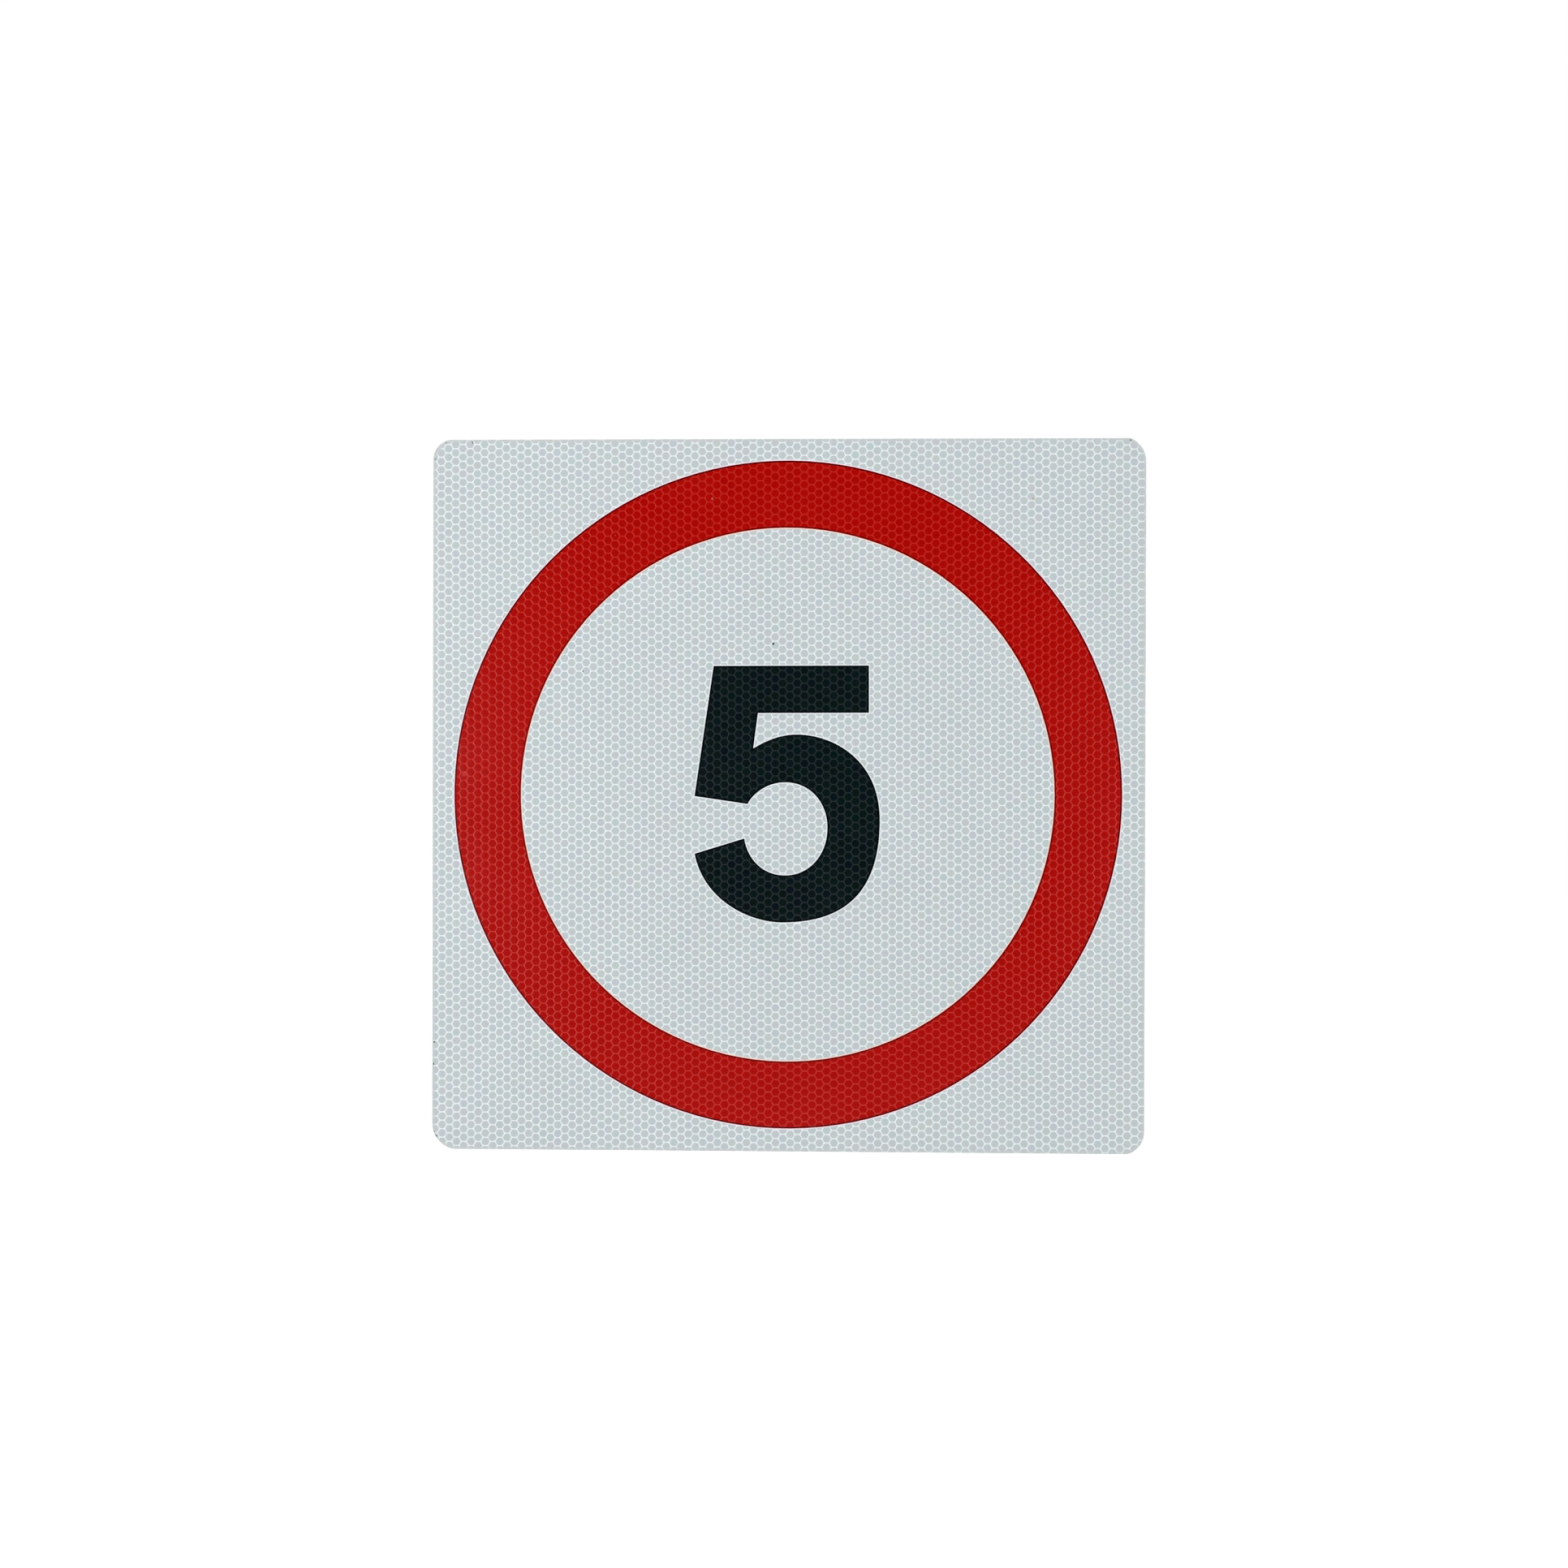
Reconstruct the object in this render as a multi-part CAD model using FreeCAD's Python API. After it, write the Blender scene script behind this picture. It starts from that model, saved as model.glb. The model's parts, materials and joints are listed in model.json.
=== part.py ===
import FreeCAD, Part
import math
import os

from FreeCAD import Vector

# A square speed limit sign: a metal plate with reflective sheeting on its front, and a red ring
# and a black figure 5 laid on the sheeting. Millimetres. The sign stands upright, its front faces
# -Y, and the origin is the centre of the back face.

# Plate
panel_width = 300.0
panel_height = 300.0
plate_thickness = 2.0
back_edge_round = 0.3

# Round of each corner, and how far the corner punch stood past the top or bottom edge.
# Where it stood past, the round meets that edge at a slight angle.
corner_radius_top_left = 8.3
corner_radius_top_right = 10.4
corner_radius_bottom_left = 11.0
corner_radius_bottom_right = 9.7
punch_past_top_left = 0.05
punch_past_top_right = 0.70
punch_past_bottom_left = 0.20
punch_past_bottom_right = 0.40

# Sheeting
sheeting_thickness = 0.35
front_edge_round = 0.25

# Colour laid on the sheeting
print_thickness = 0.10

# Ring: the white border left outside it, its band, and its place on the panel
ring_border = 9.6
ring_band = 27.9
ring_right_of_centre = -0.2
ring_above_centre = 0.3

# Figure 5: its width, its place on the panel, and its turn in degrees
numeral_width = 77.6
numeral_right_of_centre = -0.05
numeral_above_centre = 0.55
numeral_turn = 0.2

# Heights of the figure from its foot up: the bowl's lower stroke, the rise of its inner curve to
# the tail, the mouth between tail and stem, the rise from the stem's foot to the top of the inner
# curve, the bowl's upper stroke, the gap between bowl and bar, and the bar
stroke_at_foot = 19.45
tail_above_inner_foot = 15.5
mouth_height = 14.95
inner_top_above_mouth = 9.1
stroke_at_top = 19.75
gap_under_bar = 9.45
bar_stroke = 19.5

# Bar and stem
bar_length = 65.0
bar_short_of_bowl = 4.5
stem_stroke = 18.3
stem_foot_length = 22.1
stem_foot_fall = 3.3
notch_below_bowl_top = 6.0
notch_lean = 2.05

# Outer curve of the bowl: places of its top, of its rightmost point and of its foot
bowl_top_right_of_middle = 4.1
bowl_side_above_foot = 42.9
bowl_foot_left_of_middle = 2.1

# Inner curve of the bowl: the same
stroke_at_side = 21.65
inner_top_left_of_middle = 0.8
inner_side_above_inner_foot = 20.3
inner_foot_left_of_middle = 0.9

# Tail of the bowl
tail_length = 20.6
tail_rise = 6.3

# How full the curves are, as the share of its span that each handle takes
notch_fullness = 0.52
bowl_top_fullness = 0.42
bowl_side_fullness = 0.72
bowl_foot_fullness = 0.625
tail_fullness = 0.37
inner_fullness = 0.574

# Direction in degrees, and length, of the handle at each free end of a curve
notch_direction = 27.0
notch_handle = 2.0
tail_tip_direction = -78.8
tail_tip_handle = 20.0
tail_root_direction = -81.0
tail_root_handle = 8.1
stem_foot_direction = 67.6
stem_foot_handle = 2.8


def spot(across, up):
    """Point across to the right and up from the middle of the sign, in the plane of its back."""
    return Vector(across, 0, up)


# Depths of the sheeting's back and front, measured forward from the back of the sign
sheeting_back = plate_thickness
sheeting_front = sheeting_back + sheeting_thickness

# Levels of the figure 5, about its own middle
inner_height = tail_above_inner_foot + mouth_height + inner_top_above_mouth
bowl_height = stroke_at_foot + inner_height + stroke_at_top
numeral_height = bowl_height + gap_under_bar + bar_stroke
foot = -numeral_height / 2
top = numeral_height / 2
bar_foot = top - bar_stroke
left = -numeral_width / 2
right = numeral_width / 2
bar_right = right - bar_short_of_bowl
bar_left = bar_right - bar_length

# Highest, rightmost and lowest points of the bowl's two curves
bowl_top = spot(bowl_top_right_of_middle, bar_foot - gap_under_bar)
bowl_side = spot(right, foot + bowl_side_above_foot)
bowl_foot = spot(-bowl_foot_left_of_middle, foot)
inner_top = spot(-inner_top_left_of_middle, bowl_top.z - stroke_at_top)
inner_foot = spot(-inner_foot_left_of_middle, foot + stroke_at_foot)
inner_side = spot(right - stroke_at_side, inner_foot.z + inner_side_above_inner_foot)

# Corners of the bar, the stem, the notch between them and the bowl, and the tail
bar_start = spot(bar_left, top)
bar_end = spot(bar_right, top)
bar_end_foot = spot(bar_right, bar_foot)
stem_root = spot(bar_left + stem_stroke, bar_foot)
notch = spot(stem_root.x - notch_lean, bowl_top.z - notch_below_bowl_top)
stem_foot_end = spot(left + stem_foot_length, inner_top.z - inner_top_above_mouth)
stem_foot = spot(left, stem_foot_end.z + stem_foot_fall)
tail_root = spot(left + tail_length, inner_foot.z + tail_above_inner_foot)
tail_tip = spot(left, tail_root.z - tail_rise)


def slab(outlines, back, thickness):
    """Solid that fills a closed outline, less any hole outlined inside it, forward from a depth."""
    face = Part.makeFace(outlines, "Part::FaceMakerBullseye")
    face.translate(Vector(0, -back, 0))
    return face.extrude(Vector(0, -thickness, 0))


def edges_at(solid, depth):
    """Edges that lie flat at one depth in front of the back of the sign."""
    return [edge for edge in solid.Edges
            if abs(edge.BoundBox.YMin + depth) < 1e-6 and abs(edge.BoundBox.YMax + depth) < 1e-6]


def straight(start, end):
    """Straight edge between two points."""
    return Part.LineSegment(start, end).toShape()


def curve(start, start_handle, end_handle, end):
    """Cubic curve between two points, drawn by two handles."""
    cubic = Part.BezierCurve()
    cubic.setPoles([start, start_handle, end_handle, end])
    return cubic.toShape()


def quarter(crown, side, crown_fullness, side_fullness):
    """Quarter of an oval, level at its crown and upright at its side."""
    crown_handle = spot(crown.x + crown_fullness * (side.x - crown.x), crown.z)
    side_handle = spot(side.x, side.z + side_fullness * (crown.z - side.z))
    return curve(crown, crown_handle, side_handle, side)


def run_in(tip, direction, length, crown, crown_fullness):
    """Curve that leaves a tip in a direction in degrees and comes level at a crown."""
    angle = math.radians(direction)
    tip_handle = tip + spot(length * math.cos(angle), length * math.sin(angle))
    crown_handle = spot(crown.x + crown_fullness * (tip.x - crown.x), crown.z)
    return curve(tip, tip_handle, crown_handle, crown)


def corner_arc(side, end, radius, past):
    """Start, middle and end of a corner's round: side is -1 left or 1 right, end -1 foot or 1 top."""
    centre_x = side * (panel_width / 2 - radius)
    centre_z = end * (panel_height / 2 - radius + past)
    sweep = math.asin((radius - past) / radius)
    return [spot(centre_x + side * radius * math.cos(angle), centre_z + end * radius * math.sin(angle))
            for angle in (0, sweep / 2, sweep)]


def panel_outline():
    """Outline of the sheared panel, from the top right corner round by the left."""
    top_right = corner_arc(1, 1, corner_radius_top_right, punch_past_top_right)
    top_left = corner_arc(-1, 1, corner_radius_top_left, punch_past_top_left)
    bottom_left = corner_arc(-1, -1, corner_radius_bottom_left, punch_past_bottom_left)
    bottom_right = corner_arc(1, -1, corner_radius_bottom_right, punch_past_bottom_right)
    arcs = [top_right, top_left[::-1], bottom_left, bottom_right[::-1]]
    edges = []
    for arc, next_arc in zip(arcs, arcs[1:] + arcs[:1]):
        edges.append(Part.Arc(*arc).toShape())
        edges.append(straight(arc[-1], next_arc[0]))
    return Part.Wire(edges)


def bar_and_stem():
    """Edges from the stem's foot up round the bar and down to the notch."""
    points = [stem_foot, bar_start, bar_end, bar_end_foot, stem_root, notch]
    return [straight(start, end) for start, end in zip(points, points[1:])]


def bowl_outside():
    """Edges from the notch over the top of the bowl, round its side and back to the tail's tip."""
    return [run_in(notch, notch_direction, notch_handle, bowl_top, notch_fullness),
            quarter(bowl_top, bowl_side, bowl_top_fullness, bowl_side_fullness),
            quarter(bowl_foot, bowl_side, bowl_foot_fullness, bowl_side_fullness),
            run_in(tail_tip, tail_tip_direction, tail_tip_handle, bowl_foot, tail_fullness)]


def bowl_inside():
    """Edges from the tail's root round the inside of the bowl to the stem's foot."""
    return [straight(tail_tip, tail_root),
            run_in(tail_root, tail_root_direction, tail_root_handle, inner_foot, inner_fullness),
            quarter(inner_foot, inner_side, inner_fullness, inner_fullness),
            quarter(inner_top, inner_side, inner_fullness, inner_fullness),
            run_in(stem_foot_end, stem_foot_direction, stem_foot_handle, inner_top, inner_fullness),
            straight(stem_foot_end, stem_foot)]


def make_sign_plate():
    """Flat metal plate, its sharp back edge taken off."""
    plate = slab([panel_outline()], 0, plate_thickness)
    return plate.makeFillet(min(back_edge_round, 0.8 * plate_thickness), edges_at(plate, 0))


def make_reflective_sheeting():
    """Sheeting over the whole front of the plate, its front edge drawn down where it was sheared."""
    sheeting = slab([panel_outline()], sheeting_back, sheeting_thickness)
    radius = min(front_edge_round, 0.8 * sheeting_thickness)
    return sheeting.makeFillet(radius, edges_at(sheeting, sheeting_front))


def make_red_ring():
    """Flat ring of colour on the sheeting."""
    outer_radius = min(panel_width, panel_height) / 2 - ring_border
    centre = spot(ring_right_of_centre, ring_above_centre)
    rims = [Part.Wire(Part.makeCircle(radius, centre, Vector(0, 1, 0)))
            for radius in (outer_radius, outer_radius - ring_band)]
    return slab(rims, sheeting_front, print_thickness)


def make_numeral_five():
    """Figure 5 in flat colour on the sheeting."""
    outline = Part.Wire(bar_and_stem() + bowl_outside() + bowl_inside())
    numeral = slab([outline], sheeting_front, print_thickness)
    numeral.rotate(Vector(0, 0, 0), Vector(0, -1, 0), numeral_turn)
    numeral.translate(spot(numeral_right_of_centre, numeral_above_centre))
    return numeral


nodes = {
    "sign_plate": make_sign_plate(),
    "reflective_sheeting": make_reflective_sheeting(),
    "red_ring": make_red_ring(),
    "numeral_five": make_numeral_five(),
}

os.makedirs("parts", exist_ok=True)
for name, shape in nodes.items():
    shape.exportStep("parts/" + name + ".step")
    print(name, "solids", len(shape.Solids), "valid", shape.isValid(), "volume", round(shape.Volume, 1))
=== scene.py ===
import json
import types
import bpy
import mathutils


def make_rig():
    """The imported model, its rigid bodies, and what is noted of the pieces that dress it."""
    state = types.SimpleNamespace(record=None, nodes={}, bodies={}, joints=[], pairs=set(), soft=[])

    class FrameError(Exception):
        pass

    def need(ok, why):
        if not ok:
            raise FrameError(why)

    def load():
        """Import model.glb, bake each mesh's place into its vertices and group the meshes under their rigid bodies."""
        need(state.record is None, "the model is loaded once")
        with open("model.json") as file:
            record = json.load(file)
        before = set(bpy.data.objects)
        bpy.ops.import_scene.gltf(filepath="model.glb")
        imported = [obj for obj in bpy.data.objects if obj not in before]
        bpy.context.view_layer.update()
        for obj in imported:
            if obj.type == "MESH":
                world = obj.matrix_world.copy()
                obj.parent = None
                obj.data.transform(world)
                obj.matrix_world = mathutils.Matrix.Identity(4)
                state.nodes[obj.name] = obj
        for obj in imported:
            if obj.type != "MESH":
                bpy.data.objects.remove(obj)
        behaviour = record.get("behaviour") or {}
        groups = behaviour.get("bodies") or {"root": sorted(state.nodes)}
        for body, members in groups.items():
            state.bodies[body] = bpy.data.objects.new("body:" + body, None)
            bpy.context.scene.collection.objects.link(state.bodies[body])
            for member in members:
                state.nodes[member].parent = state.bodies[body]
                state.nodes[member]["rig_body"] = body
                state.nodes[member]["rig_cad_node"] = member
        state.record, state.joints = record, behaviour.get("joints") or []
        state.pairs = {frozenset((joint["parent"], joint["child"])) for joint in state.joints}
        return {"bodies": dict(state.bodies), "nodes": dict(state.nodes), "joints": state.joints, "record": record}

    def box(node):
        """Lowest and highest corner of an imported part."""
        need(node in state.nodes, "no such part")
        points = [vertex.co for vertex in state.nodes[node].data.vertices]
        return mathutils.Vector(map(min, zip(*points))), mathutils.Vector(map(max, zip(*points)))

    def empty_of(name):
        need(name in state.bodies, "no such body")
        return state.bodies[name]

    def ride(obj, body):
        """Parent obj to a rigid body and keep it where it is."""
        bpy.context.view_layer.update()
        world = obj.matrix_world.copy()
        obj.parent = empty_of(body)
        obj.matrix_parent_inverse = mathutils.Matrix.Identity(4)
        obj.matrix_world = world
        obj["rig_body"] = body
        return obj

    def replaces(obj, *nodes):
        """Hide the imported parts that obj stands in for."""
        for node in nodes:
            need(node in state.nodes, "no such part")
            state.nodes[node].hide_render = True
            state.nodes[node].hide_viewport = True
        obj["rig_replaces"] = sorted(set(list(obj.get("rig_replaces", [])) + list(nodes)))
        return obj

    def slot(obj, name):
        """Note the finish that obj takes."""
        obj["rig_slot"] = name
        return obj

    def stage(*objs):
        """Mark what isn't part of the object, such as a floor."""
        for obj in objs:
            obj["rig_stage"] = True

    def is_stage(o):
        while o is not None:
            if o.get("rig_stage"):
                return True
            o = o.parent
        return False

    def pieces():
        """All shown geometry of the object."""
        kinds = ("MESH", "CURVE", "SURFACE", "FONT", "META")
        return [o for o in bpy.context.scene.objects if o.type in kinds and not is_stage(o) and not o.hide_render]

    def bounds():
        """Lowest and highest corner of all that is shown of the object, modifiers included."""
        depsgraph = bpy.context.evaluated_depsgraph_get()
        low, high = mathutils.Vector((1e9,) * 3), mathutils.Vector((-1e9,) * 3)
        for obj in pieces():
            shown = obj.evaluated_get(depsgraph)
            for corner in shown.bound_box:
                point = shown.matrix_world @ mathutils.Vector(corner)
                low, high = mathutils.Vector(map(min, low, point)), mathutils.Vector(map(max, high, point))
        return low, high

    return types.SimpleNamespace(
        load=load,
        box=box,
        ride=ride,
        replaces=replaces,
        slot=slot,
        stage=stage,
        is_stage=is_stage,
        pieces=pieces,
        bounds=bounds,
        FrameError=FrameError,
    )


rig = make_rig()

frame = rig.load()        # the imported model: its bodies, nodes, joints and record
cad_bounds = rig.bounds()

import json
import math

import bpy
from bpy.props import FloatProperty, FloatVectorProperty, PointerProperty
from mathutils import Euler, Vector

bl_info = {
    "name": "Speed Limit Sign",
    "version": (1, 0, 0),
    "blender": (4, 5, 0),
    "location": "View3D > Sidebar > Sign",
    "description": "A square speed limit sign: honeycomb sheeting on a metal plate, a red ring and a 5",
    "category": "Object",
}

# The sign stands upright and faces -Y. Its pieces come from the frame: the plate, the white sheeting
# over its whole front, and the red ring and the black figure laid on the sheeting.
MM = 0.001
BODY = "root"
PLATE = "sign_plate"
SHEETING = "reflective_sheeting"
RING = "red_ring"
NUMERAL = "numeral_five"

# Material slots of the films, and the names of their materials
WHITE_SLOT = "white_sheeting"
RED_SLOT = "red_on_sheeting"
BLACK_SLOT = "black_on_sheeting"

# Modelling
FLAT_MAP = "OFBake"          # the UV map that lays a piece's front out flat
MAP_MARGIN = 1.01            # width of that map against the width of its piece
FLAT_UNDER = 3               # degrees under which the faces of a film or a line are shaded as one
ROUND_UNDER = 40             # the same for a fleck
MERGE_WITHIN = 0.001 * MM    # points nearer to each other than this are one
FLAT_WITHIN = 0.01 * MM      # faces nearer than this to the front of a solid are part of its front
SHEETING_SLAB = 0.8 * MM     # thickness of the sheeting's cells before they are cut to its solid
COLOUR_SLAB = 0.4 * MM       # the same for the cells of a colour
LIP_BURIED = 0.04 * MM       # how deep the pale line round a colour reaches into the sheeting
LIP_PROUD = 0.012 * MM       # how far it stands in front of the sheeting
FLECK_SIDES = 12
FLECK_UNEVEN = 0.12          # how far a fleck's outline strays, as a share of its smaller side
FLECK_BURIED = 10            # how far a fleck reaches behind the face of its film, in skins
FLECK_STEPS = ((0.6, 0.97), (0.4, 0.86))     # share of a fleck's rise, and how much narrower it gets there

# Finishes: brightness, roughness and seal lines as shares, and heights in millimetres. A pair gives
# the values between which something comes in, or the share where it is least and where it is most.
MOST_NOISE = (0.3, 0.7)      # most of a noise lies between these
CLOUDINESS = 0.05            # how far a film's brightness changes in wide clouds
GRAININESS = 0.04            # how far it changes in fine grain
FILM_GLOSS = (0.9, 1.15)     # how its roughness changes in wide clouds
WAVE_HEIGHT = 0.03
GRAIN_IN_WAVE = 0.005
SEAL_SOFTNESS = 0.13         # how far the painted seal lines blur to each side, in millimetres
SEAL_PATCHES = (0.25, 0.65)
SEAL_SHARE = (0.72, 0.96)    # how much of their colour the seal lines show, from patch to patch
# Painted highlight: the level stretches of the seal lines show more of their colour, as light from above would catch
# them
LEVEL_SEAL_HIGHLIGHT = 0.12       # how much more of it their level stretches show
SEAL_ROUGHER = 0.07
PATTERN_ROUNDING = 2.2       # makes the painted cells' corners as round as the modelled ones'
LINE_DIMMEST = 0.92
LINE_BRIGHTER = 0.16
LINE_GLOSS = (0.9, 1.2)
PIMPLE_HEIGHT = 0.004
RING_MIDDLE = (120.0, 130.0)     # how far out a line passes from its inner to its outer colour
ON_EDGE = (0.7, 0.3)         # how much a face of the plate looks forward or back
DULL_PATCHES = (0.35, 0.65)
STEEP_SCRATCHES = (0.73, 0.79)
SLIGHT_SCRATCHES = (0.71, 0.78)
ROLLING_HEIGHT = 0.006

# Along the panel's rounded sheared edge: painted shade that greys the honeycomb, a brownish dark line of painted shade
# and dirt at the very edge, and a rougher film. Each reach is in millimetres in from the edge, but the greyed one in
# widths of the rim
CORNER_ROUND = 9.8
EDGE_SHADE_REACH = (1.5, 0.4)
EDGE_SHADE_PATCHES = (0.3, 0.6)
EDGE_SHADE_SHARE = (0.35, 0.95)
EDGE_SHADE_AND_DIRT_REACH = (0.42, 0.12)
EDGE_SHADE_AND_DIRT_PATCHES = (0.5, 0.72)
EDGE_SHADE_AND_DIRT_SHARE = 0.25
ROUGH_REACH = (0.5, 0.25)
EDGE_ROUGHER = 0.45

# Room light by direction: how much of a direction points to one side, or back from the sign's face,
# where something starts and where it is full. Straight ahead of the face is 0 to each side and -1 back.
LEFT_GLOW_REACH = (0.03, 0.21)
RIGHT_GLOW_REACH = (0.09, 0.18)
FOOT_GLOW_REACH = (0.03, 0.2)
WALL_REACH = (0.24, 0.31)
WALL_AHEAD = (-0.87, -0.92)
BELOW_TOP = (0.19, 0.0)
ROOM_BESIDE = (-0.9, -0.4)

# Floor, in metres
FLOOR_SIZE = 8.0
FLOOR_BEHIND = 3.7           # how far behind the sign its middle lies
FLOOR_GLOW = 0.62            # what it adds of its own, to show as white as the background

# Marks of use on the face, all in millimetres to the right and up from the panel's middle.
# Flecks: place, width, height, and lean in degrees, clockwise as seen from the front.
DIRT = (
    (-133.42, 148.85, 0.42, 1.5, -14),
    (143.41, 149.15, 0.87, 0.48, 28),
    (-6.0, 63.79, 1.0, 1.05, 0),
    (-86.33, 52.20, 0.56, 0.58, 0),
    (-149.08, -142.53, 0.38, 0.88, -32),
    (-148.2, -144.38, 0.5, 1.15, -38),
    (-149.38, -114.00, 0.45, 1.2, 8),
    (-149.14, -104.76, 0.88, 0.78, 25),
)
PRICKS = ((-6.92, 63.75, 0.6, 0.72, 0), (-86.93, 52.42, 0.3, 0.4, 0))
CHIPS = (
    (-31.86, 124.92, 0.85, 1.08, 24),
    (-72.70, 109.41, 0.36, 0.38, 0),
    (-95.55, 69.75, 0.36, 0.56, 0),
)
PITS = ((-31.28, 125.12, 0.62, 0.95, 22),)


def linear(value):
    """Share of light from a 0 to 255 value that a picture shows, by the sRGB curve."""
    part = value / 255
    if part < 0.04045:
        return part / 12.92
    return ((part + 0.055) / 1.055) ** 2.4


def tone(red, green, blue):
    """Linear colour from the 0 to 255 values that a picture shows."""
    return linear(red), linear(green), linear(blue)


def length(name, description, millimetres):
    """Property for a length, given in millimetres and held in metres."""
    return FloatProperty(
        name=name, description=description, default=millimetres * MM, unit="LENGTH", precision=5)


def position(name, description, *millimetres):
    """Property for a point, given in millimetres and held in metres."""
    return FloatVectorProperty(
        name=name, description=description, default=[part * MM for part in millimetres],
        subtype="XYZ", unit="LENGTH", precision=5)


def angle(name, description, degrees):
    """Property for an angle, given in degrees and held in radians."""
    return FloatProperty(name=name, description=description, default=math.radians(degrees), subtype="ANGLE")


def power(name, description, watts):
    """Property for the power of a lamp."""
    return FloatProperty(name=name, description=description, default=watts, subtype="POWER")


def colour(name, description, *values):
    """Property for a colour, given as a picture shows it."""
    return FloatVectorProperty(
        name=name, description=description, default=tone(*values), subtype="COLOR", size=3, min=0, max=1)


def share(name, description, default, highest=1.0):
    """Property for a plain number from 0 up."""
    return FloatProperty(name=name, description=description, default=default, min=0, max=highest, precision=4)


# Soft stains: place, radius, strength and colour. The core is the share of a stain's radius within
# which it has its full strength.
STAIN_CORE = 0.2
GRIME = (
    (103.02, 124.68, 0.85, 0.8, tone(176, 164, 128)),
    (104.02, 124.58, 0.5, 0.45, tone(214, 196, 160)),
    (-144.65, 148.7, 0.85, 0.6, tone(128, 120, 116)),
    (-149.1, 141.75, 0.8, 0.55, tone(120, 112, 108)),
)
SMUDGES = ((-136.56, 8.66, 1.7, 0.5, tone(204, 66, 66)),)
# Brownish dark line along the very edge of the sheeting: painted shade of the rounded edge, and dirt caught there
EDGE_SHADE_AND_DIRT = tone(136, 126, 118)
FLOOR_COLOUR = tone(236, 236, 236)
WHITE = (1, 1, 1)


class HoneycombSettings(bpy.types.PropertyGroup):
    """The sealed cells of the reflective sheeting."""

    pitch: length("Cell Pitch", "From one cell to the next above it", 3.5506)
    squeeze: share("Column Squeeze", "How close the columns stand, against regular hexagons", 0.99835, 2.0)
    turn: angle("Turn", "Turn of the cells on the panel, seen from the front", 0.18)
    across: length("Cell Across", "Place of one cell to the right of the panel's middle", 1.168)
    up: length("Cell Up", "Place of that cell above the panel's middle", -0.72)
    seal_width: length("Seal Width", "Width of the pressed line between two cells", 0.46)
    seal_depth: length("Seal Depth", "How far the pressed line lies behind the cells", 0.022)
    corner_cut: length("Corner Cut", "How much of each corner of a cell is rounded off", 0.34)
    skin: length("Skin", "How far the cells lie behind the front of their film", 0.005)


class FilmSettings(bpy.types.PropertyGroup):
    """Colours of the sheeting and of the colour laid on it."""

    white_cell: colour("White Cell", "Cells of the bare sheeting", 194, 203, 206)
    white_seal: colour("White Seal", "Seal lines of the bare sheeting", 236, 243, 245)
    red_cell: colour("Red Cell", "Cells under the red", 170, 4, 0)
    red_seal: colour("Red Seal", "Seal lines under the red", 194, 32, 23)
    outer_edge: colour("Outer Edge", "Dark line just inside the ring's outer edge", 44, 0, 4)
    inner_edge: colour("Inner Edge", "Dark line just inside the ring's inner edge", 88, 0, 0)
    outer_fringe: colour("Outer Fringe", "Thin red run out past the ring's outer edge", 205, 8, 12)
    inner_fringe: colour("Inner Fringe", "Thin red run out past the ring's inner edge", 196, 8, 2)
    outer_lip: colour("Outer Lip", "Pale line outside the ring", 247, 236, 244)
    inner_lip: colour("Inner Lip", "Pale line inside the ring, warmed by its red", 255, 226, 214)
    black_cell: colour("Black Cell", "Cells under the black", 8, 22, 24)
    black_seal: colour("Black Seal", "Seal lines under the black", 32, 42, 44)
    black_edge: colour("Black Edge", "Dark line along the edge of the black", 2, 4, 5)
    black_lip: colour("Black Lip", "Pale line round the figure", 240, 246, 250)
    # Painted shade: the grey that the sheeting's cells and seal lines fade to along the panel's rounded sheared edge
    rim_shade: colour("Rim", "Sheeting along the panel's sheared edge", 201, 205, 206)
    dirt: colour("Dirt", "Specks of dirt", 58, 62, 61)
    pit: colour("Pit", "Dark pit beside a chip", 70, 12, 8)
    prick: colour("Prick", "Places where the sheeting is pricked white", 244, 249, 249)
    chip: colour("Chip", "Places where the red is chipped thin", 212, 94, 88)
    gloss: share("Roughness", "Roughness of the film's face", 0.11)
    edge_width: length("Edge Width", "Width of the dark line inside each colour's edge", 0.5)
    fringe_width: length("Fringe Width", "How far each colour has run out past its outline", 0.16)
    lip_width: length("Lip Width", "Width of the pale line round each colour", 0.42)
    lip_gap: length("Lip Gap", "How far that line stands off the colour", 0.22)
    rim_width: length("Rim Width", "Width of the greyed sheeting along the panel's edge", 1.1)


class PlateSettings(bpy.types.PropertyGroup):
    """Finish of the bare metal."""

    metal: colour("Metal", "Mill finish of the sheet", 208, 210, 212)
    stain: colour("Stain", "Dull patches of the sheet", 199, 202, 205)
    roughness: share("Roughness", "Roughness of the mill finish", 0.36)


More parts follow.
